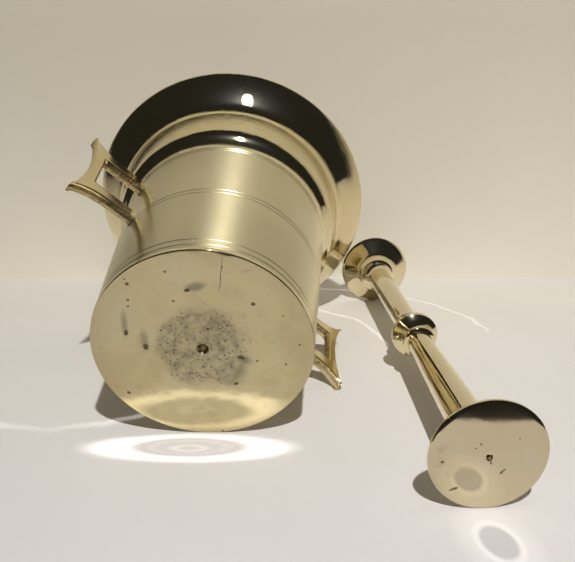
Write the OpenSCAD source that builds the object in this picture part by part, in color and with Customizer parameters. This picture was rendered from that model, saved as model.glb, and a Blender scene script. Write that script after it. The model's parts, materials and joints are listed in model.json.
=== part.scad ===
// Brass mortar lying on its side, with its pestle beside it.
// +Z is up and the surface they lie on is z = 0. The mortar's mouth faces +Y and its base faces -Y.
// The origin is the middle of the whole set's box, on that surface.

/* [Mortar body] */
// Radius of the body at the base
base_r = 40; // [32:0.5:48]
// Height from the base to the widest circle of the mouth
mouth_h = 127; // [122:0.5:134]
// Height of the cove's foot, where the tapered body ends
cove_h = 84.6; // [80:0.2:88]
// Half angle of the body's taper, in degrees
body_taper = 3.95; // [2:0.05:5]
// Thickness of the base inside the hollow
floor_t = 9; // [6:0.5:12]
// Radius of the hollow near its bottom
hollow_r = 36.2; // [30:0.2:36.4]
// Half angle of the hollow's taper, in degrees
hollow_taper = 5; // [3:0.25:5.5]
// Radius of the round edge of the mouth
lip_r = 1.6; // [1.2:0.1:2]

/* [Flare] */
// Steepest slope of the cove, in degrees from the axis
cove_slope = 51; // [45:1:52]
// Radius of both arcs of the cove
cove_arc_r = 7.2; // [6:0.2:8]
// Steepest slope of the flare, in degrees from the axis
flare_slope = 53; // [50:1:55]
// Height of the crease between the cove and the flare
crease_h = 101; // [98:0.5:103]
// Height from the crease to the flare's hollow arc
flare_rise = 7.8; // [7:0.1:8.4]
// Radius of the flare's hollow arc
flare_in_r = 10.6; // [9.6:0.1:11]

/* [Engraved lines] */
// Width of one line
line_w = 0.5; // [0.3:0.1:0.8]
// Depth of one line
line_d = 0.25; // [0.15:0.05:0.4]

/* [Handles] */
// Angle of the left handle round the body, seen from the base, from +X towards the top
left_angle = 136; // [130:0.5:142]
// Angle of the right handle in the same way
right_angle = -41.4; // [-41.4:0.2:-36]
// Height of the handles' middle above the base
handle_h = 58.6; // [54:0.1:60]
// Thickness of the handle plate
handle_t = 4.4; // [3.5:0.1:5]
// Distance from the body to the outer bar's middle
handle_reach = 23.4; // [22:0.2:24]
// Distance from the handle's middle to the outside of an arm
arm_out = 16.4; // [15.5:0.1:17]
// Distance from the handle's middle to the tip of a horn
horn_out = 22.7; // [21:0.1:23]
// Length of the window along the body
window_l = 21.6; // [19:0.2:23]
// Depth of the window away from the body
window_d = 19.2; // [17:0.2:20]

/* [Pestle] */
// Length of the pestle between the rims of its heads
pestle_l = 200; // [180:1:210]
// Radius of the two disc heads
head_r = 19.3; // [16:0.1:20]
// Shaft radius at the near neck
shaft_near_r = 7; // [6:0.1:7.4]
// Shaft radius on the near side of the collar
shaft_mid_r = 5.3; // [4.5:0.1:6]
// Shaft radius at the far neck
shaft_far_r = 6; // [5:0.1:6.6]
// Radius of the collar's large ring
collar_r = 10.3; // [8:0.1:11]
// Distance of the collar from the near rim
collar_at = 97.5; // [80:0.5:120]

/* [Layout] */
// Sideways distance from the mortar's axis to the pestle's near end
pestle_x = 93; // [88:0.5:110]
// Distance of the pestle's near rim in front of the mortar's base centre
pestle_front = 36.9; // [20:0.1:50]
// Yaw of the pestle, its far end towards the mortar, in degrees
pestle_yaw = 3.6; // [0:0.1:5]

/* [Hidden] */

BRASS = [0.80, 0.68, 0.42];
SOLDER = [0.72, 0.70, 0.66];
ROUND = 120;

edge_c = 0.8;                // bevel round the base edge
crease_slope = 8;            // slope of the flare just above the crease, degrees
lip_slope = 34.5;            // slope where the flare runs into the lip, degrees
band_slope = 9;              // slope of the plain band between cove and crease, degrees
mouth_slope = 42;            // slope of the hollow's open end, degrees
mouth_arc_r = 12;            // arc where the hollow opens out
hollow_arc_from = 100;       // height where that arc starts
corner_r = 17;               // fillet at the bottom of the hollow
line_at = [3.4, 6.7, 41.4, 44.0, 81.4, 83.4];   // heights of the engraved lines
centre_hole_r = 1.45;        // lathe centre hole in the base
centre_cone_r = 2.1;
arm_straight = 11;           // length of an arm's straight outer edge
seam_w = 0.9;                // reach of a solder seam beyond the arm
foot_depth = 1.5;            // how far the handle blank runs into the body before it is cut to it

// Point on an arc that bends outwards or inwards. A profile point is [radius, height],
// and slope is measured from the axis.
function out_normal(slope) = [cos(slope), -sin(slope)];
function hollow_arc(start, r, from, to, n) =
    [for (i = [1:n]) start + r * (out_normal(from) - out_normal(from + (to - from) * i / n))];
function round_arc(start, r, from, to, n) =
    [for (i = [1:n]) start - r * (out_normal(from) - out_normal(from + (to - from) * i / n))];
function last(list) = list[len(list) - 1];

function body_r(h) = base_r + h * tan(body_taper);
function notch(h) = [
    [body_r(h - line_w / 2), h - line_w / 2],
    [body_r(h) - line_d, h],
    [body_r(h + line_w / 2), h + line_w / 2]
];

// Outside of the mortar, from the base centre to the mouth
cove_start = [body_r(cove_h), cove_h];
cove_in = hollow_arc(cove_start, cove_arc_r, body_taper, cove_slope, 7);
cove_out = round_arc(last(cove_in), cove_arc_r, cove_slope, band_slope, 7);
crease = last(cove_out) + (crease_h - last(cove_out)[1]) * [tan(band_slope), 1];
flare_foot = crease + flare_rise * [tan(crease_slope), 1];
flare_in = hollow_arc(flare_foot, flare_in_r, crease_slope, flare_slope, 8);
flare_top = mouth_h - lip_r * sin(lip_slope);
flare_out_r = (flare_top - last(flare_in)[1]) / (sin(flare_slope) - sin(lip_slope));
flare_out = round_arc(last(flare_in), flare_out_r, flare_slope, lip_slope, 8);
lip_centre = last(flare_out) - lip_r * out_normal(lip_slope);
lip_turn = 180 + lip_slope - mouth_slope;
lip = [for (i = [1:9]) lip_centre + lip_r * out_normal(lip_slope - lip_turn * i / 9)];

// Inside of the hollow, from the mouth to the centre
wall_foot = [hollow_r, floor_t + corner_r];
wall_top = wall_foot + (hollow_arc_from - wall_foot[1]) * [tan(hollow_taper), 1];
mouth_arc = hollow_arc(wall_top, mouth_arc_r, hollow_taper, mouth_slope, 6);
corner_centre = [hollow_r - corner_r, floor_t + corner_r];
corner = [for (i = [0:6]) corner_centre + corner_r * [cos(15 * i), -sin(15 * i)]];

mortar_profile = concat(
    [[0, 4.6], [centre_hole_r, 3.8], [centre_hole_r, 0.7], [centre_cone_r, 0]],
    [[body_r(edge_c) - edge_c, 0], [body_r(edge_c), edge_c]],
    [for (h = line_at) each notch(h)],
    [cove_start], cove_in, cove_out, [crease, flare_foot], flare_in, flare_out, lip,
    [for (i = [len(mouth_arc) - 1:-1:0]) mouth_arc[i]],
    [wall_top], corner, [[0, floor_t]]
);

// The mortar lies on its base edge and on the lip, so its axis tips up by this angle
edge_to_lip = lip_centre - [body_r(edge_c), edge_c];
tilt = atan2(edge_to_lip[0], edge_to_lip[1]) + asin(lip_r / norm(edge_to_lip));
axis_z = body_r(edge_c) * cos(tilt) - edge_c * sin(tilt);

// Middle of the whole set's box, seen from the middle of the mortar's base
set_right = pestle_x + head_r * cos(pestle_yaw);
set_left = -(lip_centre[0] + lip_r);
set_front = -pestle_front - head_r * sin(pestle_yaw);
set_back = -pestle_front + pestle_l * cos(pestle_yaw) + head_r * sin(pestle_yaw);
mortar_x = -(set_right + set_left) / 2;
mortar_y = -(set_front + set_back) / 2;

// Puts a shape built on a standing mortar, base at z = 0, into its place in the set
module lay_mortar() {
    translate([mortar_x, mortar_y, axis_z]) rotate([tilt - 90, 0, 0]) children();
}

// Puts a handle, drawn with +X outward and +Z along the body, on a standing body's wall
module on_wall(angle) {
    rotate([0, 0, -angle])
        translate([body_r(handle_h), 0, handle_h]) rotate([0, body_taper, 0]) children();
}

module body_cone() {
    cylinder(h = cove_h, r1 = base_r, r2 = body_r(cove_h), $fn = 6 * ROUND);
}

module mortar_body() {
    color(BRASS) lay_mortar() rotate_extrude($fn = ROUND) polygon(mortar_profile);
}

// Flat outline of a handle: x is outward from the wall, y is along it
module handle_outline() {
    bar_r = 73;
    flare_r = 23.5;
    tip = handle_reach + 3.2;
    difference() {
        translate([-foot_depth, -horn_out]) square([tip + foot_depth, 2 * horn_out]);
        translate([handle_reach + bar_r, 0]) circle(r = bar_r, $fn = 240);
        for (side = [-1, 1]) {
            translate([arm_straight, side * (arm_out + flare_r)]) circle(r = flare_r, $fn = 120);
            translate([-foot_depth - 1, side > 0 ? arm_out : -arm_out - 10])
                square([foot_depth + 1 + arm_straight, 10]);
        }
        translate([-foot_depth - 1, -window_l / 2]) square([foot_depth + 1 + window_d, window_l]);
    }
}

module handle(angle) {
    color(BRASS) lay_mortar() difference() {
        on_wall(angle) rotate([90, 0, 0])
            translate([0, 0, -handle_t / 2]) linear_extrude(height = handle_t) handle_outline();
        body_cone();
    }
}

module left_handle() { handle(left_angle); }
module right_handle() { handle(right_angle); }

// Sloping collar of solder round one arm's foot
module seam_slope(half) {
    polygon([[-foot_depth, -half - seam_w], [-foot_depth, half + seam_w],
        [seam_w, half + 0.2], [seam_w, -half - 0.2]]);
}

module seam(angle, side) {
    arm_half = (arm_out - window_l / 2) / 2;
    arm_mid = side * (arm_out + window_l / 2) / 2;
    long = 3 * handle_t;
    color(SOLDER) lay_mortar() difference() {
        on_wall(angle) translate([0, 0, arm_mid]) difference() {
            intersection() {
                rotate([90, 0, 0]) translate([0, 0, -long / 2])
                    linear_extrude(height = long) seam_slope(arm_half);
                translate([0, 0, -long / 2]) linear_extrude(height = long) seam_slope(handle_t / 2);
            }
            translate([-2 * foot_depth, -handle_t / 2, -arm_half])
                cube([4 * foot_depth, handle_t, 2 * arm_half]);
        }
        body_cone();
    }
}

module left_handle_upper_solder() { seam(left_angle, 1); }
module left_handle_lower_solder() { seam(left_angle, -1); }
module right_handle_upper_solder() { seam(right_angle, 1); }
module right_handle_lower_solder() { seam(right_angle, -1); }

// Half profile of one head, from its domed face to its neck, as [radius, distance from the rim]
head_dome = 0.5;             // height of the face's dome
head_mark_r = 1.1;           // lathe centre hole in each face
function head_profile(neck_r) = [
    [0, 1.6], [head_mark_r, 1.0], [head_mark_r, -head_dome],
    [head_r / 2, -0.75 * head_dome], [head_r - 0.5, 0], [head_r, 0.4], [head_r, 1.1],
    [10.7, 8.6], [10.7, 9.2], [10.2, 12.4], [8.4, 15.2], [7.8, 15.6], [7.8, 16.6],
    [max(7, neck_r + 0.6), 18], [neck_r, 21.4]
];
// Half profile of the collar: a bead, the large ring and a second bead, about its middle
function collar_half(shaft_r) = [
    [shaft_r, 10.2], [6.8, 9.8], [6.8, 8.4], [6, 7.8], [6, 6.6],
    [7.8, 3.4], [collar_r - 0.4, 1.4], [collar_r, 0.9]
];
function below(points, from) = [for (p = points) [p[0], from - p[1]]];
function reversed(points) = [for (i = [len(points) - 1:-1:0]) points[i]];
collar_far_r = shaft_mid_r + 0.3;
pestle_profile = concat(
    head_profile(shaft_near_r),
    below(collar_half(shaft_mid_r), collar_at),
    [for (p = reversed(collar_half(collar_far_r))) [p[0], collar_at + p[1]]],
    reversed(below(head_profile(shaft_far_r), pestle_l))
);

module pestle() {
    color(BRASS) translate([mortar_x + pestle_x, mortar_y - pestle_front, head_r])
        rotate([0, 0, pestle_yaw]) rotate([-90, 0, 0]) rotate_extrude($fn = ROUND) polygon(pestle_profile);
}

mortar_body();
left_handle();
right_handle();
left_handle_upper_solder();
left_handle_lower_solder();
right_handle_upper_solder();
right_handle_lower_solder();
pestle();
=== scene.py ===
"""Brass mortar lying on its side with its pestle beside it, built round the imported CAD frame."""
import json
import math

import bmesh
import bpy
from mathutils import Matrix, Vector, noise

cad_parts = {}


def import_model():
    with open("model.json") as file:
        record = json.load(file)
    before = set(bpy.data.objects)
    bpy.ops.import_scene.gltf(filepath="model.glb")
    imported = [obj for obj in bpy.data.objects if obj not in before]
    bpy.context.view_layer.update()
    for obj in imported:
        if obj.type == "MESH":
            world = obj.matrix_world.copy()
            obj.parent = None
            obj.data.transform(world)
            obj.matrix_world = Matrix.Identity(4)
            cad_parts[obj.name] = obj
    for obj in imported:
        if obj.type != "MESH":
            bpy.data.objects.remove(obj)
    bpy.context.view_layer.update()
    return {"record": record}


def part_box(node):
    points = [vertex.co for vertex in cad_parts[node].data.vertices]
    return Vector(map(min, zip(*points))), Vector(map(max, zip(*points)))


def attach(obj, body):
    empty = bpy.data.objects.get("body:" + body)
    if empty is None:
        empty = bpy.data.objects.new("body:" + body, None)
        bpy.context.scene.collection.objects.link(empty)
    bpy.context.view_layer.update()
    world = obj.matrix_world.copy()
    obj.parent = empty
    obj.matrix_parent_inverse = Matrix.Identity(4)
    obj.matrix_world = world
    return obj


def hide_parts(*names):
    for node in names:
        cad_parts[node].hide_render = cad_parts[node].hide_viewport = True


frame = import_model()

MM = 0.001
AROUND = 288                     # segments round a turned piece

# The mortar, standing on its base; heights and radii in mm, slopes in degrees from its axis.
BASE_R = 40.0
TAPER = 3.95
EDGE_R = 0.5                     # worn edge round the base
CENTRE_HOLE_R = 1.45
LINES = (3.4, 6.7, 41.4, 44.0, 81.4, 83.4)
LINE_W = 0.5
LINE_DEPTH = 0.25
COVE_H = 84.6
COVE_R = 7.2
COVE_STEEP = 51
COVE_LEAVES = 9
CREASE_H = 101
FLARE_FOOT = 8
FLARE_RISE = 7.8
FLARE_R = 10.6
FLARE_STEEP = 53
LIP_SLOPE = 34.5
LIP_R = 1.6
LIP_H = 127
MOUTH_SLOPE = 42
MOUTH_R = 12
HOLLOW_TOP = 100
HOLLOW_TAPER = 5
HOLLOW_R = 36.2
HOLLOW_CORNER_R = 17.0
FLOOR_T = 9.0

# The handles, in mm: x is outward from the wall, y along the body, t through the thickness.
HANDLE_ANGLES = {"left": 136.0, "right": -41.4}   # round the body, from +X towards the top, degrees
HANDLE_H = 58.6                  # height of their middle above the base
HANDLE_HALF_T = 2.2
ARM_OUT = 16.4                   # outside of the arms, from the middle
ARM_STRAIGHT = 11.0
HORN_OUT = 22.7
HORN_CURVE_R = 23.5
BAR_REACH = 23.4
BAR_R = 73.0
WINDOW_D = 19.2
WINDOW_L = 21.6
WINDOW_CORNER = 0.9
FOOT_IN = -1.0                   # the arms start this far inside the wall

# The pestle, in mm.
PESTLE_YAW = 3.6
PESTLE_LENGTH = 200.0            # between the rims of its heads
HEAD_R = 19.3
HEAD_DOME = 0.5
COLLAR_AT = 97.5
COLLAR_R = 10.3


# ---------------------------------------------------------------- where the frame puts things

def mortar_matrix():
    """Frame of the standing mortar: base centre at the origin, +Z towards the mouth."""
    mount = next(m for m in frame["record"]["mounts"] if m["name"] == "base_face")
    low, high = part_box("mortar_body")
    origin = Vector(mount["pos_m"])
    origin.x = (low.x + high.x) / 2
    z = -Vector(mount["axis"]).normalized()
    x = Vector((1, 0, 0))
    y = z.cross(x)
    return Matrix.Translation(origin) @ Matrix((x, y, z)).transposed().to_4x4()


def pestle_matrix():
    """Frame of the pestle: middle of its near rim at the origin, +Z along it."""
    low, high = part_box("pestle")
    yaw = math.radians(PESTLE_YAW)
    z = Vector((-math.sin(yaw), math.cos(yaw), 0))
    y = Vector((0, 0, -1))
    x = y.cross(z)
    origin = (low + high) / 2 - z * PESTLE_LENGTH / 2 * MM
    return Matrix.Translation(origin) @ Matrix((x, y, z)).transposed().to_4x4()


MORTAR = mortar_matrix()
PESTLE = pestle_matrix()


# ---------------------------------------------------------------- profiles, in mm

def body_r(h):
    return BASE_R + h * math.tan(math.radians(TAPER))


def normal(slope):
    s = math.radians(slope)
    return (math.cos(s), -math.sin(s))


def arc(start, r, a, b, bend, n):
    """Points of an arc from slope a to slope b; bend is 1 for a hollow arc and -1 for a round one."""
    ax, ay = normal(a)
    made = []
    for i in range(1, n + 1):
        bx, by = normal(a + (b - a) * i / n)
        made.append((start[0] + bend * r * (ax - bx), start[1] + bend * r * (ay - by)))
    return made


def straight(a, b, n):
    return [(a[0] + (b[0] - a[0]) * i / n, a[1] + (b[1] - a[1]) * i / n) for i in range(1, n + 1)]


def groove(h):
    w = LINE_W / 2
    bottom = body_r(h) - LINE_DEPTH
    return [(body_r(h - w), h - w), (bottom, h - 0.05), (bottom, h + 0.05), (body_r(h + w), h + w)]


def cove_and_flare():
    """From the foot of the cove to the outside of the lip, and the lip's centre."""
    foot = (body_r(COVE_H), COVE_H)
    cove = arc(foot, COVE_R, TAPER, COVE_STEEP, 1, 16)
    cove += arc(cove[-1], COVE_R, COVE_STEEP, COVE_LEAVES, -1, 16)
    top = cove[-1]
    crease = (top[0] + (CREASE_H - top[1]) * math.tan(math.radians(COVE_LEAVES)), CREASE_H)
    flare_foot = (crease[0] + FLARE_RISE * math.tan(math.radians(FLARE_FOOT)), CREASE_H + FLARE_RISE)
    flare = straight(crease, flare_foot, 4) + arc(flare_foot, FLARE_R, FLARE_FOOT, FLARE_STEEP, 1, 20)
    steep, at_lip = math.sin(math.radians(FLARE_STEEP)), math.sin(math.radians(LIP_SLOPE))
    out_r = (LIP_H - LIP_R * at_lip - flare[-1][1]) / (steep - at_lip)
    flare += arc(flare[-1], out_r, FLARE_STEEP, LIP_SLOPE, -1, 20)
    nx, ny = normal(LIP_SLOPE)
    lip_centre = (flare[-1][0] - LIP_R * nx, flare[-1][1] - LIP_R * ny)
    return [foot] + cove + [crease] + flare, lip_centre


def round_lip(centre):
    made = []
    for i in range(1, 17):
        bx, by = normal(LIP_SLOPE - (180 + LIP_SLOPE - MOUTH_SLOPE) * i / 16)
        made.append((centre[0] + LIP_R * bx, centre[1] + LIP_R * by))
    return made


def hollow():
    """From the inside of the mouth down the wall and across the floor to the axis."""
    foot = (HOLLOW_R, FLOOR_T + HOLLOW_CORNER_R)
    wall_top = (HOLLOW_R + (HOLLOW_TOP - foot[1]) * math.tan(math.radians(HOLLOW_TAPER)), HOLLOW_TOP)
    mouth = arc(wall_top, MOUTH_R, HOLLOW_TAPER, MOUTH_SLOPE, 1, 16)
    corner = []
    for i in range(13):
        a = math.radians(i * 7.5)
        corner.append((HOLLOW_R - HOLLOW_CORNER_R * (1 - math.cos(a)),
                       foot[1] - HOLLOW_CORNER_R * math.sin(a)))
    wall = straight(wall_top, foot, 20)[:-1]
    return mouth[::-1] + [wall_top] + wall + corner + straight(corner[-1], (0, FLOOR_T), 8)


def mortar_profile():
    """From the bottom of the lathe centre's hole, across the base, up the outside and down the hollow."""
    base_edge = (body_r(EDGE_R) - EDGE_R, 0)
    points = [(0, 4.6), (CENTRE_HOLE_R, 3.8), (CENTRE_HOLE_R, 0.7), (2.1, 0.0)]
    points += straight((2.1, 0), (3.2, 0.0), 2) + straight((3.2, 0), base_edge, 16)
    points += arc(base_edge, EDGE_R, 90, TAPER, -1, 6)
    for h in LINES:
        last = points[-1]
        points += straight(last, groove(h)[0], max(1, round((h - last[1]) / 3)))
        points += groove(h)[1:]
    outside, lip_centre = cove_and_flare()
    return points + outside + round_lip(lip_centre) + hollow()


def spline(points, n=5):
    """Catmull-Rom curve through points, with n steps between each two."""
    made = []
    for i in range(len(points) - 1):
        p0, p1, p2 = points[max(i - 1, 0)], points[i], points[i + 1]
        p3 = points[min(i + 2, len(points) - 1)]
        for k in range(n):
            t = k / n
            made.append(tuple(
                0.5 * (2 * b + (c - a) * t + (2 * a - 5 * b + 4 * c - d) * t * t
                       + (3 * b - a - 3 * c + d) * t ** 3)
                for a, b, c, d in zip(p0, p1, p2, p3)))
    return made + [points[-1]]


def pestle_head(neck_r):
    """Half profile of one head, from the middle of its domed face to its neck."""
    r, dome, hole_r, hole_edge_r, cone_r = HEAD_R, HEAD_DOME, 1.1, 1.35, 10.9
    points = [(0, 1.6), (hole_r, 1.0), (hole_r, -dome + 0.1), (hole_edge_r, -dome)]
    for i in range(1, 17):
        x = hole_edge_r + (r - 0.55 - hole_edge_r) * i / 16
        points.append((x, -dome * (1 - (x / r) ** 2)))
    points += [(r - 0.25, 0.06), (r - 0.06, 0.24), (r, 0.5), (r, 0.95), (r - 0.12, 1.2)]
    points += straight((r - 0.12, 1.2), (cone_r, 8.5), 6)
    points += [(10.72, 8.75), (10.7, 9.0)]
    points += spline([(10.7, 9.0), (10.65, 10.6), (10.2, 12.4), (9.4, 14.1), (8.4, 15.2), (7.9, 15.6)], 4)[1:]
    points += [(7.8, 15.75), (7.8, 16.5)]
    neck = [(7.8, 16.5), (max(7, neck_r + 0.6), 17.6), (neck_r + 0.15, 19.4), (neck_r, 21.6)]
    return points + spline(neck, 4)[1:]


def collar_half(shaft_r):
    """From the shaft to the middle of the collar: a bead, a groove, a cone and the large ring."""
    bead = []
    for a in range(80, -81, -20):
        bead.append((6.45 + 0.75 * math.cos(math.radians(a)), 8.95 + 0.8 * math.sin(math.radians(a))))
    cone = spline([(6.0, 7.7), (6.05, 6.8), (6.7, 5.2), (7.9, 3.4), (9.2, 2.1), (9.9, 1.5)], 4)
    ring = [(COLLAR_R - 0.15, 1.3), (COLLAR_R, 0.9), (COLLAR_R, 0.0)]
    return [(shaft_r, 10.4), (shaft_r + 0.1, 10.0)] + bead + cone + ring


def pestle_profile():
    near_r, mid_r, far_mid_r, far_r = 7.0, 5.3, 5.6, 6.0
    near = [(x, COLLAR_AT - y) for x, y in collar_half(mid_r)]
    far = [(x, COLLAR_AT + y) for x, y in collar_half(far_mid_r)[-2::-1]]
    head = pestle_head(near_r)
    tail = [(x, PESTLE_LENGTH - y) for x, y in pestle_head(far_r)[::-1]]
    return head + straight(head[-1], near[0], 12) + near[1:] + far + straight(far[-1], tail[0], 12) + tail[1:]


# ---------------------------------------------------------------- meshes

def add_object(name, mesh, matrix, body, node, material, sharp=28):
    """Place a mesh made in its own frame. Its points are kept in frame metres, so the object isn't turned."""
    mesh.transform(matrix)
    for polygon in mesh.polygons:
        polygon.use_smooth = True
    mesh.set_sharp_from_angle(angle=math.radians(sharp))
    obj = bpy.data.objects.new(name, mesh)
    bpy.context.scene.collection.objects.link(obj)
    mesh.materials.append(material)
    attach(obj, body)
    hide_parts(node)
    return obj


def closed_mesh(name, verts, faces, corners=None):
    """Mesh with all its faces outward; corners, if given, are the UV of each face corner in turn."""
    mesh = bpy.data.meshes.new(name)
    mesh.from_pydata(verts, [], faces)
    if corners:
        layer = mesh.uv_layers.new(name="turned")
        for item, uv in zip(layer.data, corners):
            item.uv = uv
    bm = bmesh.new()
    bm.from_mesh(mesh)
    bmesh.ops.recalc_face_normals(bm, faces=bm.faces)
    bm.to_mesh(mesh)
    bm.free()
    return mesh


def lathe(name, profile):
    """Turned solid about +Z from a profile that starts and ends on the axis; U runs along the profile."""
    verts, faces, corners = [(0, 0, profile[0][1] * MM)], [], []
    rings = profile[1:-1]
    run = [0.0]
    for a, b in zip(profile, profile[1:]):
        run.append(run[-1] + math.dist(a, b) * MM)
    for r, z in rings:
        for k in range(AROUND):
            a = 2 * math.pi * k / AROUND
            verts.append((r * MM * math.cos(a), r * MM * math.sin(a), z * MM))
    end = len(verts)
    verts.append((0, 0, profile[-1][1] * MM))
    last = 1 + (len(rings) - 1) * AROUND
    for k in range(AROUND):
        n = (k + 1) % AROUND
        v, w = k / AROUND, (k + 1) / AROUND
        faces.append((0, 1 + n, 1 + k))
        corners += [(run[0], (v + w) / 2), (run[1], w), (run[1], v)]
        for i in range(len(rings) - 1):
            a, b = 1 + i * AROUND, 1 + (i + 1) * AROUND
            faces.append((a + k, a + n, b + n, b + k))
            corners += [(run[i + 1], v), (run[i + 1], w), (run[i + 2], w), (run[i + 2], v)]
        faces.append((last + k, last + n, end))
        corners += [(run[-2], v), (run[-2], w), (run[-1], (v + w) / 2)]
    return closed_mesh(name, verts, faces, corners)


def spread(points, n):
    """n + 1 points at even steps along a line of points."""
    run = [0.0]
    for a, b in zip(points, points[1:]):
        run.append(run[-1] + math.dist(a, b))
    made, i = [], 0
    for k in range(n + 1):
        at = run[-1] * k / n
        while i < len(points) - 2 and run[i + 1] < at:
            i += 1
        f = (at - run[i]) / max(1e-9, run[i + 1] - run[i])
        made.append((points[i][0] + (points[i + 1][0] - points[i][0]) * f,
                     points[i][1] + (points[i + 1][1] - points[i][1]) * f))
    return made


def window_corner(degrees):
    a, r = math.radians(degrees), WINDOW_CORNER
    return (WINDOW_D - r + r * math.cos(a), WINDOW_L / 2 - r + r * math.sin(a))


def handle_edges():
    """Outer and inner edge of a handle, point for point, from one foot round to the other."""
    outer = [(FOOT_IN, ARM_OUT), (ARM_STRAIGHT, ARM_OUT)]
    a_end = math.acos((ARM_OUT + HORN_CURVE_R - HORN_OUT) / HORN_CURVE_R)
    for i in range(1, 25):
        a = a_end * i / 24
        outer.append((ARM_STRAIGHT + HORN_CURVE_R * math.sin(a), ARM_OUT + HORN_CURVE_R * (1 - math.cos(a))))
    inner = [(FOOT_IN, WINDOW_L / 2)] + [window_corner(90 - 15 * i) for i in range(4)]
    horn = outer[-1]
    bar = [horn]
    for i in range(41):
        y = (HORN_OUT - 0.5) * (1 - i / 20)
        bar.append((BAR_REACH + BAR_R - math.sqrt(BAR_R ** 2 - y * y), y))
    bar.append((horn[0], -horn[1]))
    inner_bar = [window_corner(45 - 15 * i) for i in range(4)]
    inner_bar += [(x, -y) for x, y in inner_bar[::-1]]
    made = []
    for arms, middle in ((outer, bar), (inner, inner_bar)):
        arms, middle = spread(arms, 70), spread(middle, 90)
        made.append(arms + middle[1:] + [(x, -y) for x, y in arms[-2::-1]])
    return made


def edge_normals(line, turn):
    """Unit normals of an open line, to its left (turn 1) or right (turn -1), longer at sharp corners."""
    made = []
    for i, p in enumerate(line):
        p = Vector(p)
        a = Vector(line[i - 1]) if i else p * 2 - Vector(line[1])
        b = Vector(line[i + 1]) if i < len(line) - 1 else p * 2 - Vector(line[-2])
        u, v = (p - a).normalized(), (b - p).normalized()
        n = (Vector((-u.y, u.x)) + Vector((-v.y, v.x))) * turn
        made.append(n / max(0.6, n.length_squared / 2))
    return made


def handle_mesh(name, seed):
    """Cast handle: polished flat faces, edges that slope to a parting line, a little uneven."""
    outer, inner = handle_edges()
    out_n, in_n = edge_normals(outer, 1), edge_normals(inner, -1)
    half = HANDLE_HALF_T
    # through the thickness: place, how far the edge stands out, how rough it is
    layers = ((-half, -0.62, 0.01), (-half + 0.06, -0.5, 0.02), (-half + 0.2, -0.38, 0.05),
              (-1.45, -0.1, 0.12),
              (-0.9, 0.1, 0.17), (-0.4, 0.26, 0.16), (0.0, 0.36, 0.12), (0.2, 0.34, 0.06), (0.7, 0.16, 0.03),
              (1.4, -0.1, 0.02), (half - 0.2, -0.38, 0.015), (half - 0.06, -0.5, 0.01), (half, -0.62, 0.01))
    across = (0.04, 0.5, 0.96)
    verts, faces = [], []

    def edge(p, n, which):
        made = []
        for t, off, rough in layers:
            wob = noise.noise(Vector((p[0] * 0.9 + seed + which, p[1] * 0.9, t * 1.1)))
            wob += 0.6 * noise.noise(Vector((p[0] * 2.6, p[1] * 2.6 + seed + which, t * 2.0)))
            slow = 0.12 * noise.noise(Vector((p[0] * 0.12, p[1] * 0.12, seed)))
            d = off + rough * wob * 1.3 + slow
            made.append(Vector((p[0] + n.x * d, t, p[1] + n.y * d)))
        return made

    for p, n, q, m in zip(outer, out_n, inner, in_n):
        rim, hole = edge(p, n, 0), edge(q, m, 5)
        ring = rim + [rim[-1].lerp(hole[-1], f) for f in across]
        ring += hole[::-1] + [hole[0].lerp(rim[0], f) for f in across]
        for point in ring:
            bow = 0.05 * noise.noise(Vector((point.x * 0.1, point.z * 0.1, seed)))
            verts.append((point.x * MM, (point.y + bow) * MM, point.z * MM))
    size = len(ring)
    for k in range(len(outer) - 1):
        for i in range(size):
            j = (i + 1) % size
            faces.append((k * size + i, k * size + j, (k + 1) * size + j, (k + 1) * size + i))
    faces += [tuple(range(size)), tuple(range(len(verts) - size, len(verts)))]
    return closed_mesh(name, verts, faces)


def seam_mesh(name, side, seed):
    """Bead of solder round one arm's foot, lumpy, on the body's round wall."""
    mid = side * (WINDOW_L / 2 + ARM_OUT) / 2
    half_g = (ARM_OUT - WINDOW_L / 2) / 2
    around = 96
    # the bead's section: away from the arm, up from the wall
    section = ((-0.25, -0.5), (-0.2, 1.0), (0.12, 0.95), (0.3, 0.45), (0.62, 0.16), (1.0, 0.04), (1.1, -0.3),
               (0.8, -0.6))
    square, spin, wide, tall = 0.28, 0.8, 0.9, 0.85
    verts, faces = [], []
    for k in range(around):
        a = 2 * math.pi * k / around
        c, s = math.cos(a), math.sin(a)
        x = HANDLE_HALF_T * math.copysign(abs(c) ** square, c)
        y = half_g * math.copysign(abs(s) ** square, s)
        n = Vector((math.copysign(abs(c) ** spin, c), math.copysign(abs(s) ** spin, s))).normalized()
        lump = 1 + 0.35 * noise.noise(Vector((c * 1.6 + seed, s * 1.6, seed)))
        lump += 0.2 * noise.noise(Vector((c * 5, s * 5, seed)))
        for reach, up in section:
            t = x + n.x * reach * wide * lump
            g = mid + y + n.y * reach * wide * lump
            w = (up * tall * lump if up > 0 else up) - t * t / (2 * body_r(HANDLE_H))
            verts.append((w * MM, t * MM, g * MM))
    m = len(section)
    for k in range(around):
        n = (k + 1) % around
        for i in range(m):
            j = (i + 1) % m
            faces.append((k * m + i, n * m + i, n * m + j, k * m + j))
    return closed_mesh(name, verts, faces)


def on_wall(angle):
    """Frame of a handle: +X outward from the wall, +Z along the body."""
    turn = Matrix.Rotation(math.radians(-angle), 4, "Z")
    lift = Matrix.Translation((body_r(HANDLE_H) * MM, 0, HANDLE_H * MM))
    return MORTAR @ turn @ lift @ Matrix.Rotation(math.radians(TAPER), 4, "Y")


# ---------------------------------------------------------------- materials

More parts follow.
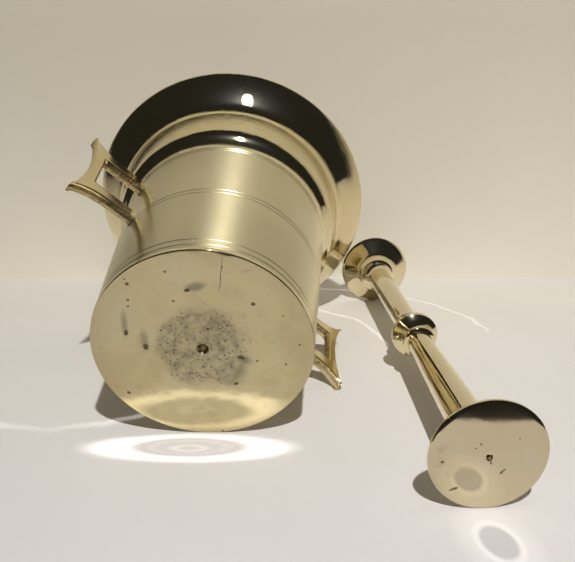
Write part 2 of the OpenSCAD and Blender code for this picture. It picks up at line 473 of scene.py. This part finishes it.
class Nodes:
    """Short ways to build a shader; place is the frame of the piece it is for, and point is in it."""

    def __init__(self, name, place=None):
        self.material = bpy.data.materials.new(name)
        self.material.use_nodes = True
        self.tree = self.material.node_tree
        self.tree.nodes.clear()
        self.out = self.new("OutputMaterial")
        self.point = self.new("TexCoord").outputs["Object"]
        if place is not None:
            mapping = self.new("Mapping")
            mapping.vector_type = "TEXTURE"
            mapping.inputs["Location"].default_value = place.to_translation()
            mapping.inputs["Rotation"].default_value = place.to_euler("XYZ")
            self.put(mapping.inputs["Vector"], self.point)
            self.point = mapping.outputs[0]
        self.x, self.y, self.z = self.separate(self.point)

    def new(self, kind):
        return self.tree.nodes.new("ShaderNode" + kind)

    def put(self, socket, value):
        if isinstance(value, bpy.types.NodeSocket):
            self.tree.links.new(value, socket)
        elif value is not None:
            socket.default_value = value

    def math(self, operation, a, b=None):
        node = self.new("Math")
        node.operation = operation
        self.put(node.inputs[0], a)
        self.put(node.inputs[1], b)
        return node.outputs[0]

    def chain(self, operation, values):
        made = values[0]
        for value in values[1:]:
            made = self.math(operation, made, value)
        return made

    def times(self, *values):
        return self.chain("MULTIPLY", values)

    def plus(self, *values):
        return self.chain("ADD", values)

    def highest(self, *values):
        return self.chain("MAXIMUM", values)

    def minus(self, a, b):
        return self.math("SUBTRACT", a, b)

    def combine(self, x, y, z):
        node = self.new("CombineXYZ")
        for socket, value in zip(node.inputs, (x, y, z)):
            self.put(socket, value)
        return node.outputs[0]

    def separate(self, vector):
        node = self.new("SeparateXYZ")
        self.put(node.inputs[0], vector)
        return tuple(node.outputs)

    def noise(self, vector, scale, detail=2.0, rough=0.5, distortion=0.0):
        node = self.new("TexNoise")
        self.put(node.inputs["Vector"], vector)
        self.put(node.inputs["Scale"], scale)
        self.put(node.inputs["Detail"], detail)
        self.put(node.inputs["Roughness"], rough)
        self.put(node.inputs["Distortion"], distortion)
        return node.outputs["Fac"]

    def dots(self, vector, scale, sizes, share):
        """Scattered dots; sizes maps a random key to a radius, share is where a second key starts to show."""
        node = self.new("TexVoronoi")
        self.put(node.inputs["Vector"], vector)
        self.put(node.inputs["Scale"], scale)
        size_key, show_key, _ = self.separate(node.outputs["Color"])
        size = self.span(size_key, *sizes, smooth=False)
        return self.times(self.math("LESS_THAN", node.outputs["Distance"], size), self.span(show_key, *share))

    def span(self, value, low, high, to_low=0.0, to_high=1.0, smooth=True):
        node = self.new("MapRange")
        node.interpolation_type = "SMOOTHSTEP" if smooth else "LINEAR"
        for socket, v in zip(node.inputs, (value, low, high, to_low, to_high)):
            self.put(socket, v)
        return node.outputs[0]

    def fall(self, value, low, high):
        """1 below low, 0 above high."""
        return self.span(value, low, high, 1.0, 0.0)

    def mix(self, factor, a, b):
        node = self.new("Mix")
        node.data_type = "RGBA"
        self.put(node.inputs[0], factor)
        for socket, value in ((node.inputs[6], a), (node.inputs[7], b)):
            self.put(socket, value if isinstance(value, bpy.types.NodeSocket) else (*value, 1))
        return node.outputs[2]

    def tint(self, color, tone, *amounts):
        """Lay a tone over a colour, by the product of the amounts."""
        return self.mix(self.times(*amounts), color, tone)

    def relief(self, *layers):
        """Bumps laid over one another; each layer is a height and its depth in metres."""
        made = None
        for height, depth in layers:
            node = self.new("Bump")
            node.inputs["Strength"].default_value = 1.0
            node.inputs["Distance"].default_value = depth
            self.put(node.inputs["Height"], height)
            self.put(node.inputs["Normal"], made)
            made = node.outputs[0]
        return made

    def marks(self, *places):
        """1 inside ellipses on a flat face; each is a centre and half size in mm, a turn, and a softness."""
        flat = self.combine(self.x, self.y, 0.0)
        made = []
        for centre, size, turn, soft in places:
            node = self.new("Mapping")
            node.vector_type = "TEXTURE"
            node.inputs["Location"].default_value = (centre[0] * MM, centre[1] * MM, 0)
            node.inputs["Rotation"].default_value = (0, 0, math.radians(turn))
            node.inputs["Scale"].default_value = (size[0] * MM, size[1] * MM, 1)
            self.put(node.inputs["Vector"], flat)
            length = self.new("VectorMath")
            length.operation = "LENGTH"
            self.put(length.inputs[0], node.outputs[0])
            made.append(self.fall(length.outputs["Value"], 1 - soft, 1 + soft))
        return self.highest(*made)

    def principled(self, color, rough, normal_out):
        shader = self.new("BsdfPrincipled")
        self.put(shader.inputs["Base Color"], color)
        self.put(shader.inputs["Roughness"], rough)
        self.put(shader.inputs["Normal"], normal_out)
        return shader

    def metal(self, color, rough, normal_out):
        shader = self.principled(color, rough, normal_out)
        shader.inputs["Metallic"].default_value = 1.0
        shader.inputs["Specular IOR Level"].default_value = 0.5
        self.put(self.out.inputs["Surface"], shader.outputs[0])
        return shader


class TurnedNodes(Nodes):
    """Shader for a turned piece: knows a point's radius, and makes streaks that run round the axis."""

    def __init__(self, name, place):
        super().__init__(name, place)
        self.radius = self.math("SQRT", self.plus(self.times(self.x, self.x), self.times(self.y, self.y)))
        safe = self.highest(self.radius, 0.0005)
        self.round_x = self.math("DIVIDE", self.x, safe)
        self.round_y = self.math("DIVIDE", self.y, safe)
        self.along = self.plus(self.times(self.z, 1000), self.times(self.radius, 1000))

    def streaks(self, per_mm, round_about, detail=2.0, rough=0.5):
        vector = self.combine(self.times(self.along, per_mm), self.times(self.round_x, round_about),
                              self.times(self.round_y, round_about))
        return self.noise(vector, 1.0, detail, rough)

    def turned_metal(self, color, rough, normal_out, along_profile):
        """Metal whose highlights stretch along the profile, across the turning marks, with a soft halo."""
        shader = self.metal(color, rough, normal_out)
        shader.inputs["Coat Weight"].default_value = 0.3
        shader.inputs["Coat Roughness"].default_value = 0.32
        self.put(shader.inputs["Anisotropic"], along_profile)
        tangent = self.new("Tangent")
        tangent.direction_type = "UV_MAP"
        tangent.uv_map = "turned"
        self.put(shader.inputs["Tangent"], tangent.outputs[0])
        return self.material


BRASS = (0.78, 0.69, 0.44)
BRASS_WARM = (0.74, 0.625, 0.365)
BRASS_PALE = (0.92, 0.84, 0.575)
BRASS_DULL = (0.46, 0.40, 0.22)
PIT = (0.07, 0.055, 0.025)


def base_crack(n):
    """A thin crack from the base's top edge towards its middle."""
    wander = n.times(n.minus(n.noise(n.point, 500, 2), 0.5), 0.0018)
    centre = n.plus(0.0081, n.plus(n.times(n.plus(n.y, 0.030), -0.13), wander))
    crack = n.math("LESS_THAN", n.math("ABSOLUTE", n.minus(n.x, centre)), 0.00013)
    return n.times(crack, n.span(n.y, -0.0375, -0.0365), n.fall(n.y, -0.026, -0.024))


def base_marks(n):
    """Gouges, smears and scratches on the base; y runs down it."""
    gouges = n.marks(
        ((-26.5, -7.2), (0.75, 1.1), 0, 0.35), ((-20.2, -1.2), (0.95, 1.2), 0, 0.35),
        ((-3.6, -24.6), (0.9, 0.6), -15, 0.35), ((13.6, 3.6), (1.5, 0.8), 15, 0.4),
        ((-23.6, -27.0), (0.55, 0.55), 0, 0.3), ((-24.2, -20.6), (0.5, 0.45), 0, 0.3),
        ((-24.4, -18.0), (0.4, 0.35), 0, 0.3), ((18.6, -19.0), (0.75, 0.6), 20, 0.3),
        ((29.6, 6.8), (0.4, 0.35), 0, 0.3), ((34.5, -1.8), (0.35, 0.35), 0, 0.3),
        ((-29.0, 20.0), (0.75, 0.5), 35, 0.3), ((11.2, 15.6), (0.8, 0.55), -30, 0.4),
        ((-8.6, -20.2), (0.45, 0.3), 10, 0.3), ((-10.4, -31.6), (0.4, 0.35), 0, 0.3),
        ((2.4, -8.6), (0.6, 0.5), 20, 0.4), ((9.2, -10.0), (0.45, 0.35), 0, 0.4))
    smears = n.marks(
        ((-26.6, -10.8), (1.0, 4.6), 3, 0.7), ((-20.5, -3.8), (1.3, 4.0), 0, 0.7),
        ((-0.8, -25.8), (3.4, 1.5), -12, 0.6), ((15.0, 5.2), (2.4, 1.6), 15, 0.7),
        ((12.6, 10.8), (2.6, 3.6), 20, 0.8), ((10.0, 15.2), (4.0, 2.0), -10, 0.9))
    scratches = n.marks(
        ((16.4, -31.8), (1.9, 0.28), -14, 0.3), ((2.0, -19.0), (4.6, 0.12), 48, 0.3),
        ((-15.0, -26.0), (2.6, 0.1), 62, 0.3), ((-9.5, -12.0), (3.4, 0.1), 70, 0.3),
        ((24.0, 9.0), (5.0, 0.09), -35, 0.3))
    return gouges, smears, scratches


def mortar_material():
    n = TurnedNodes("mortar_turned_brass", MORTAR)
    # where on the mortar
    on_base = n.fall(n.z, 0.00015, 0.0004)
    on_wall_side = n.times(n.span(n.z, 0.0008, 0.0016), n.fall(n.z, 0.0835, 0.090))
    on_flare = n.span(n.z, 0.0845, 0.092)
    sunk = n.minus(n.plus(BASE_R * MM, n.times(n.z, math.tan(math.radians(TAPER)))), n.radius)
    in_line = n.times(n.span(sunk, 0.00003, 0.00018), n.span(n.z, 0.0015, 0.002),
                      n.fall(sunk, 0.0004, 0.0005))
    inside = n.times(n.span(sunk, 0.0026, 0.0034), n.span(n.z, 0.0062, 0.0068))
    # tone: slow cloudy change, turned lines, smears
    cloud = n.noise(n.point, 22, 3, 0.55)
    fine = n.streaks(2.6, 2.5, 3, 0.6)
    smear = n.noise(n.point, 60, 4, 0.65, 0.6)
    color = n.mix(n.span(cloud, 0.35, 0.68), BRASS, BRASS_WARM)
    color = n.tint(color, (0.62, 0.5, 0.27), n.span(fine, 0.52, 0.78), 0.35)
    color = n.tint(color, (0.55, 0.48, 0.33), n.span(smear, 0.56, 0.75), 0.22)
    # warm and grey clouds on the base, darker towards its rim, all duller than the wall
    blot = n.noise(n.point, 48, 5, 0.62, 0.5)
    color = n.tint(color, (0.55, 0.42, 0.25), on_base, n.span(blot, 0.46, 0.64, 0.0, 0.5))
    color = n.tint(color, (0.60, 0.57, 0.44), on_base, n.span(blot, 0.30, 0.44, 0.4, 0.0))
    color = n.tint(color, (0.50, 0.38, 0.20), on_base, n.span(n.radius, 0.031, 0.0395, 0.0, 0.35))
    color = n.tint(color, BRASS_DULL, on_base, 0.5)
    # the stained, pitted middle of the base
    warp = n.noise(n.point, 110, 4, 0.6)
    patch_r = n.plus(n.times(n.radius, 1000), n.times(n.minus(warp, 0.5), 12))
    patch = n.times(n.fall(patch_r, 13.5, 18.5), on_base)
    dirt = n.noise(n.point, 230, 5, 0.7)
    color = n.tint(color, (0.22, 0.205, 0.14), patch, n.span(dirt, 0.34, 0.66, 0.18, 0.78))
    shift = n.times(warp, 0.006)
    warped = n.combine(n.plus(n.x, shift), n.plus(n.y, shift), 0.0)
    pits = n.times(n.dots(warped, 1050, (0.2, 1.0, 0.0, 0.62), (0.38, 0.42)), patch)
    stray = n.dots(n.point, 150, (0.0, 1.0, 0.03, 0.085), (0.5, 0.52))
    gouges, smears, scratches = base_marks(n)
    smears = n.times(smears, on_base)
    deep = n.times(
        n.highest(gouges, n.times(base_crack(n), 0.8), n.times(pits, 0.5), n.times(stray, on_base, 0.85)),
        on_base)
    color = n.tint(color, (0.24, 0.225, 0.14), smears, 0.6)
    color = n.tint(color, (0.25, 0.21, 0.12), scratches, on_base, 0.4)
    color = n.tint(color, PIT, deep, 0.84)
    mottle = n.noise(n.point, 260, 4, 0.7, 0.3)
    color = n.tint(color, (0.34, 0.29, 0.17), on_base, n.span(mottle, 0.54, 0.7, 0.0, 0.22))
    # the lathe centre's hole is painted dark as shade in the recess, with a thin dark ring round it
    in_hole = n.times(n.fall(n.radius, 0.00135, 0.00165), n.fall(n.z, 0.005, 0.0055))
    hole_ring = n.times(n.span(n.radius, 0.0019, 0.0021), n.fall(n.radius, 0.0022, 0.0024), on_base)
    color = n.tint(color, (0.06, 0.065, 0.06), in_hole)
    color = n.tint(color, (0.12, 0.11, 0.08), hole_ring, 0.8)
    # the hollow is duller, the wall paler, and the engraved lines hold grime
    color = n.tint(color, (0.50, 0.39, 0.20), inside, 0.55)
    color = n.tint(color, BRASS_PALE, on_wall_side, n.span(cloud, 0.3, 0.7, 0.95, 0.7))
    color = n.tint(color, (0.20, 0.15, 0.07), in_line, 0.75)
    outside = n.minus(1.0, inside)
    rough = n.plus(
        n.span(cloud, 0.3, 0.7, 0.08, 0.12), n.times(patch, 0.15), n.times(on_wall_side, 0.215),
        n.times(n.highest(deep, smears, in_line), 0.3), n.times(on_flare, outside, -0.045),
        n.times(inside, 0.12), n.times(fine, on_base, 0.03))
    normal_out = n.relief(
        (n.streaks(3.5, 1.5, 2, 0.6), 0.0000035),                            # turned lines
        (n.streaks(0.35, 9.0, 3, 0.5), 0.000014),                            # waves from hand polishing
        (n.times(n.streaks(1.5, 7.0, 2, 0.5), on_flare, outside), 0.00006),  # ragged lines on the flare
        (n.times(n.noise(n.point, 70, 2, 0.5), on_base), 0.00045),           # the base isn't quite flat
        (n.noise(n.point, 420, 2, 0.5), 0.000002),
        (n.minus(1.0, n.plus(deep, n.times(smears, 0.15))), 0.00022),
        (n.times(dirt, patch), 0.00005))
    return n.turned_metal(color, rough, normal_out, n.plus(0.25, n.times(on_wall_side, 0.64)))


def pestle_material():
    n = TurnedNodes("pestle_turned_brass", PESTLE)
    on_face = n.fall(n.z, 0.0001, 0.0004)
    cloud = n.noise(n.point, 40, 3, 0.55)
    fine = n.streaks(3.0, 2.0, 3, 0.6)
    color = n.mix(n.span(cloud, 0.35, 0.7), (0.83, 0.735, 0.52), (0.79, 0.675, 0.43))
    color = n.tint(color, (0.6, 0.48, 0.26), n.span(fine, 0.55, 0.8), 0.25)
    # the face is toned darker and browner than the shaft: partly its own browner tone, partly painted shade
    # for the dimmer light it mirrors
    color = n.tint(color, (0.52, 0.44, 0.295), on_face, 0.62)
    dings = n.times(n.marks(
        ((-3.0, -4.6), (0.32, 0.28), 0, 0.3), ((-4.6, -3.2), (0.25, 0.2), 0, 0.3),
        ((4.4, 5.6), (0.75, 0.3), -50, 0.3), ((5.2, 4.8), (0.3, 0.3), 0, 0.3),
        ((-10.4, 11.4), (1.4, 0.38), -22, 0.3), ((0.6, 1.9), (0.7, 0.25), 80, 0.3),
        ((-14.6, 1.4), (0.5, 0.4), 0, 0.3), ((9.0, -6.0), (0.2, 0.2), 0, 0.3)), on_face)
    specks = n.dots(n.point, 260, (0, 1, 0.02, 0.07), (0.72, 0.74))
    # a ragged brownish patch at the left of the face, also rougher
    patch_noise = n.span(n.noise(n.point, 160, 4, 0.7, 0.8), 0.5, 0.7)
    brown_patch = n.times(patch_noise, n.marks(((-14.5, -1.0), (5.0, 9.0), 0, 0.8)), on_face)
    color = n.tint(color, (0.45, 0.35, 0.2), brown_patch, 0.55)
    color = n.tint(color, (0.09, 0.065, 0.03), n.highest(dings, n.times(specks, 0.8)), 0.85)
    rough = n.plus(n.span(cloud, 0.3, 0.7, 0.05, 0.085), n.times(n.highest(brown_patch, dings), 0.25))
    normal_out = n.relief(
        (n.streaks(3.5, 1.5, 2, 0.6), 0.0000012), (n.streaks(0.3, 5.0, 3, 0.5), 0.000012),
        (n.noise(n.point, 700, 2, 0.5), 0.0000011), (n.minus(1.0, dings), 0.0002))
    return n.turned_metal(color, rough, normal_out, 0.3)


def handle_material(name, place):
    """Polished faces; on the edges one half is rough from the mould, with a line where it parted."""
    n = Nodes(name, place)
    thickness = n.times(n.y, 1000)
    from_middle = n.math("ABSOLUTE", thickness)
    to_object = n.new("VectorTransform")
    to_object.vector_type = "NORMAL"
    to_object.convert_from = "WORLD"
    to_object.convert_to = "OBJECT"
    n.put(to_object.inputs[0], n.new("NewGeometry").outputs["True Normal"])
    facing = n.new("VectorMath")
    facing.operation = "DOT_PRODUCT"
    n.put(facing.inputs[0], to_object.outputs[0])
    facing.inputs[1].default_value = place.to_3x3() @ Vector((0, 1, 0))
    turned_away = n.fall(n.math("ABSOLUTE", facing.outputs["Value"]), 0.55, 0.8)
    edge = n.times(turned_away, n.fall(from_middle, 1.7, 2.0))
    cast = n.times(edge, n.span(thickness, -0.3, 0.2, 1.0, 0.3))
    line = n.times(n.fall(from_middle, 0.06, 0.16), edge)
    cloud = n.noise(n.point, 60, 3, 0.55)
    grain = n.noise(n.point, 900, 5, 0.75)
    lumps = n.noise(n.point, 330, 4, 0.65, 0.4)
    color = n.mix(n.span(cloud, 0.35, 0.68), (0.79, 0.68, 0.43), (0.74, 0.60, 0.33))
    color = n.tint(color, (0.47, 0.36, 0.17), cast, n.span(grain, 0.38, 0.62, 0.25, 0.95))
    color = n.tint(color, (0.16, 0.115, 0.05), cast, n.span(lumps, 0.5, 0.68, 0.0, 0.8))
    color = n.tint(color, (0.2, 0.14, 0.06), line, 0.4)
    rough = n.plus(n.span(cloud, 0.3, 0.7, 0.09, 0.15), n.times(cast, n.span(grain, 0.3, 0.7, 0.18, 0.4)))
    brushed = n.noise(n.combine(n.times(n.x, 300), 0.0, n.times(n.z, 3500)), 1.0, 3, 0.6)
    normal_out = n.relief((brushed, 0.000004), (n.noise(n.point, 180, 2), 0.00002),
                          (n.times(n.plus(grain, n.times(lumps, 1.4)), cast), 0.00022))
    n.metal(color, rough, normal_out)
    return n.material


def solder_material():
    n = Nodes("soft_solder")
    cloud = n.noise(n.point, 420, 4, 0.6)
    grime = n.noise(n.point, 1200, 3, 0.7)
    color = n.mix(n.span(cloud, 0.35, 0.7), (0.70, 0.67, 0.60), (0.56, 0.48, 0.33))
    color = n.mix(n.span(grime, 0.58, 0.75, 0.0, 0.7), color, (0.2, 0.16, 0.1))
    n.metal(color, n.span(cloud, 0.3, 0.7, 0.2, 0.38), n.relief((cloud, 0.00012), (grime, 0.00003)))
    return n.material


# ---------------------------------------------------------------- the pieces

add_object("mortar_turned_cup", lathe("mortar_turned_cup", mortar_profile()), MORTAR,
           "mortar", "mortar_body", mortar_material())
SOLDER = solder_material()
for number, (side, angle) in enumerate(HANDLE_ANGLES.items()):
    place = on_wall(angle)
    name = f"{side}_handle_casting"
    add_object(name, handle_mesh(name, 3.7 + 11 * number), place,
               "mortar", f"{side}_handle", handle_material(f"{side}_cast_brass", place), 30)
    for arm, up in (("upper", 1), ("lower", -1)):
        name = f"{side}_{arm}_solder_bead"
        add_object(name, seam_mesh(name, up, 2.1 * number + up), place,
                   "mortar", f"{side}_handle_{arm}_solder", SOLDER, 60)
add_object("pestle_turned", lathe("pestle_turned", pestle_profile()), PESTLE,
           "pestle", "pestle", pestle_material())


# ---------------------------------------------------------------- floor and backdrop

def plain_sheet(name, corners, material):
    mesh = bpy.data.meshes.new(name)
    mesh.from_pydata(corners, [], [tuple(range(len(corners)))])
    mesh.materials.append(material)
    obj = bpy.data.objects.new(name, mesh)
    bpy.context.scene.collection.objects.link(obj)


def floor_light(n):
    """Painted light on the floor for the light the brass throws there, and painted shade in the dim oval in
    front of the pestle's face; in mm.
    """
    x, y = n.times(n.x, 1000), n.times(n.y, 1000)
    shift = n.times(n.minus(n.noise(n.point, 55, 2), 0.5), 0.12)

    def ellipse(cx, cy, rx, ry, turn=0.0):
        """Distance from the centre, 1 on the ellipse."""
        c, s = math.cos(math.radians(turn)), math.sin(math.radians(turn))
        dx, dy = n.minus(x, cx), n.minus(y, cy)
        u = n.math("DIVIDE", n.plus(n.times(dx, c), n.times(dy, s)), rx)
        v = n.math("DIVIDE", n.minus(n.times(dy, c), n.times(dx, s)), ry)
        return n.plus(n.math("SQRT", n.plus(n.times(u, u), n.times(v, v))), shift)

    def band(value, low, mid, high, power):
        return n.times(n.span(value, low, mid), n.fall(value, mid, high), power)

    # in front of the base, painted light: a bright lens with a dimmer one inside it
    outer = ellipse(-28.5, -65.2, 42.0, 10.2)
    lens = ellipse(-28.8, -64.6, 21.5, 6.4)
    core = ellipse(-28.8, -65.4, 8.0, 2.4)
    oval = ellipse(70.9, -115.4, 5.6, 8.0, 14)
    made = [n.times(n.fall(outer, 0.62, 1.06), n.span(lens, 0.82, 1.3), 0.85),
            band(lens, 0.48, 0.66, 0.84, 0.07), band(core, 0.2, 0.75, 1.15, 0.16),
            band(oval, 0.8, 1.06, 1.4, 0.2), band(oval, 1.0, 1.35, 2.6, 0.10)]
    # thin arcs of painted light: centre, radius, half width as a share of it, from and to in y, power
    for cx, cy, r, half, low, high, power in (
            (-88.0, 20.0, 72.0, 0.045, -60.0, 30.0, 0.30), (28.0, 30.0, 88.0, 0.020, 40.0, 140.0, 0.22),
            (-10.0, 22.0, 68.0, 0.022, 20.0, 120.0, 0.28)):
        limit = n.times(n.span(y, low, low + 20), n.fall(y, high - 20, high))
        made.append(n.times(band(ellipse(cx, cy, r, r), 1 - half, 1.0, 1 + half, limit), power))
    return n.plus(*made), n.fall(oval, 0.75, 1.05)


def card(name, painted_light_tones, along, reach):
    """Matt pale card, faintly uneven, its tone changing along x, y or z as painted light and shade; returns
    nodes, shader, colour.
    """
    n = Nodes(name)
    color = n.mix(n.span((n.x, n.y, n.z)["xyz".index(along)], *reach, smooth=False), *painted_light_tones)
    color = n.tint(color, (0.3, 0.28, 0.22), n.span(n.noise(n.point, 9, 3, 0.5), 0.3, 0.7, 0.0, 0.05))
    shader = n.principled(color, 0.75, n.relief((n.noise(n.point, 500, 3), 0.00008)))
    shader.inputs["Specular IOR Level"].default_value = 0.15
    return n, shader, color


def floor_card():
    # darker and bluer towards the front; the darkening is painted shade that evens out the key lamp's
    # stronger light near the front
    n, shader, color = card("floor_card", ((0.72, 0.715, 0.755), (0.87, 0.855, 0.83)), "y", (-0.14, 0.10))
    light, dim = floor_light(n)
    # painted shade inside the oval in front of the pestle's face
    n.put(shader.inputs["Base Color"], n.tint(color, (0.36, 0.36, 0.42), dim, 0.28))
    # painted light from the brass, as soft emission on the floor
    shader.inputs["Emission Color"].default_value = (1.0, 0.97, 0.92, 1)
    n.put(shader.inputs["Emission Strength"], light)
    n.put(n.out.inputs["Surface"], shader.outputs[0])
    return n.material


def backdrop_card():
    """Clear from behind, for views from the back."""
    # painted light: the backdrop is lighter low down, near the floor, and darker towards its top
    n, shader, _ = card("backdrop_card", ((0.89, 0.86, 0.77), (0.645, 0.615, 0.515)), "z", (0.0, 0.16))
    mixer = n.new("MixShader")
    n.put(mixer.inputs[0], n.new("NewGeometry").outputs["Backfacing"])
    n.put(mixer.inputs[1], shader.outputs[0])
    n.put(mixer.inputs[2], n.new("BsdfTransparent").outputs[0])
    n.put(n.out.inputs["Surface"], mixer.outputs[0])
    return n.material


# The floor sheet ends in front in a slanting, uneven edge, which the pestle's face mirrors as a dark band.
SIDE, BACK, WALL_LEFT, WALL_Y, WALL_TOP = 0.9, 1.2, -0.27, 0.142, 0.42
FRONT_Y, FRONT_SLANT, FRONT_UNEVEN = -0.1795, 0.17, 0.004
front = []
for i in range(181):
    x = -SIDE + 0.01 * i
    front.append((x, FRONT_Y + FRONT_SLANT * x + FRONT_UNEVEN * noise.noise(Vector((0.6 * i, 0.5, 0))), 0))
plain_sheet("floor", front + [(SIDE, BACK, 0), (-SIDE, BACK, 0)], floor_card())
wall = [(WALL_LEFT, WALL_Y, 0), (SIDE, WALL_Y, 0), (SIDE, WALL_Y, WALL_TOP), (WALL_LEFT, WALL_Y, WALL_TOP)]
plain_sheet("backdrop", wall, backdrop_card())


# ---------------------------------------------------------------- light and camera

def world():
    """A dim room for reflections, and a pale surround where the camera sees it directly."""
    made = bpy.data.worlds.new("room")
    made.use_nodes = True
    tree = made.node_tree
    tree.nodes.clear()
    out = tree.nodes.new("ShaderNodeOutputWorld")
    room = tree.nodes.new("ShaderNodeBackground")
    room.inputs["Color"].default_value = (0.019, 0.019, 0.016, 1)
    room.inputs["Strength"].default_value = 1.0
    pale = tree.nodes.new("ShaderNodeBackground")
    pale.inputs["Color"].default_value = (0.60, 0.58, 0.54, 1)
    mixer = tree.nodes.new("ShaderNodeMixShader")
    path = tree.nodes.new("ShaderNodeLightPath")
    tree.links.new(path.outputs["Is Camera Ray"], mixer.inputs[0])
    tree.links.new(room.outputs[0], mixer.inputs[1])
    tree.links.new(pale.outputs[0], mixer.inputs[2])
    tree.links.new(mixer.outputs[0], out.inputs["Surface"])
    bpy.context.scene.world = made


def lamp(name, kind, place, power, color):
    data = bpy.data.lights.new(name, kind)
    data.energy = power
    data.color = color
    obj = bpy.data.objects.new(name, data)
    bpy.context.scene.collection.objects.link(obj)
    obj.location = place
    return obj


world()
key = lamp("key", "POINT", (0.088, -0.470, 0.650), 20.6, (1.0, 0.96, 0.90))
key.data.shadow_soft_size = 0.010
# soft fill from above for the shadows; polished metal doesn't mirror it
fill = lamp("fill", "AREA", (-0.1, -0.1, 1.2), 0.9, (1.0, 0.86, 0.64))
fill.data.shape = "RECTANGLE"
fill.data.size, fill.data.size_y = 1.0, 1.0
fill.rotation_mode = "QUATERNION"
fill.rotation_quaternion = (-fill.location).to_track_quat("-Z", "Y")
fill.visible_glossy = False

camera_data = bpy.data.cameras.new("camera")
camera_data.lens = 40.79
camera_data.sensor_width = 36
camera_data.sensor_fit = "HORIZONTAL"
camera_data.clip_start = 0.01
camera = bpy.data.objects.new("camera", camera_data)
bpy.context.scene.collection.objects.link(camera)
CAMERA_AT = (0.01034, -0.27577, 0.13367)
PITCH, ROLL = math.radians(18.02), -0.004
ahead = Vector((-0.01144, 0.99993, 0)) * math.cos(PITCH) + Vector((0, 0, -math.sin(PITCH)))
right = Vector((0.99993, 0.01144, 0))
level_right = right * math.cos(ROLL) + right.cross(ahead) * math.sin(ROLL)
camera.matrix_world = (Matrix.Translation(CAMERA_AT)
                       @ Matrix((level_right, level_right.cross(ahead), -ahead)).transposed().to_4x4())
bpy.context.scene.camera = camera

bpy.context.scene.view_settings.view_transform = "Standard"
bpy.context.scene.view_settings.look = "None"
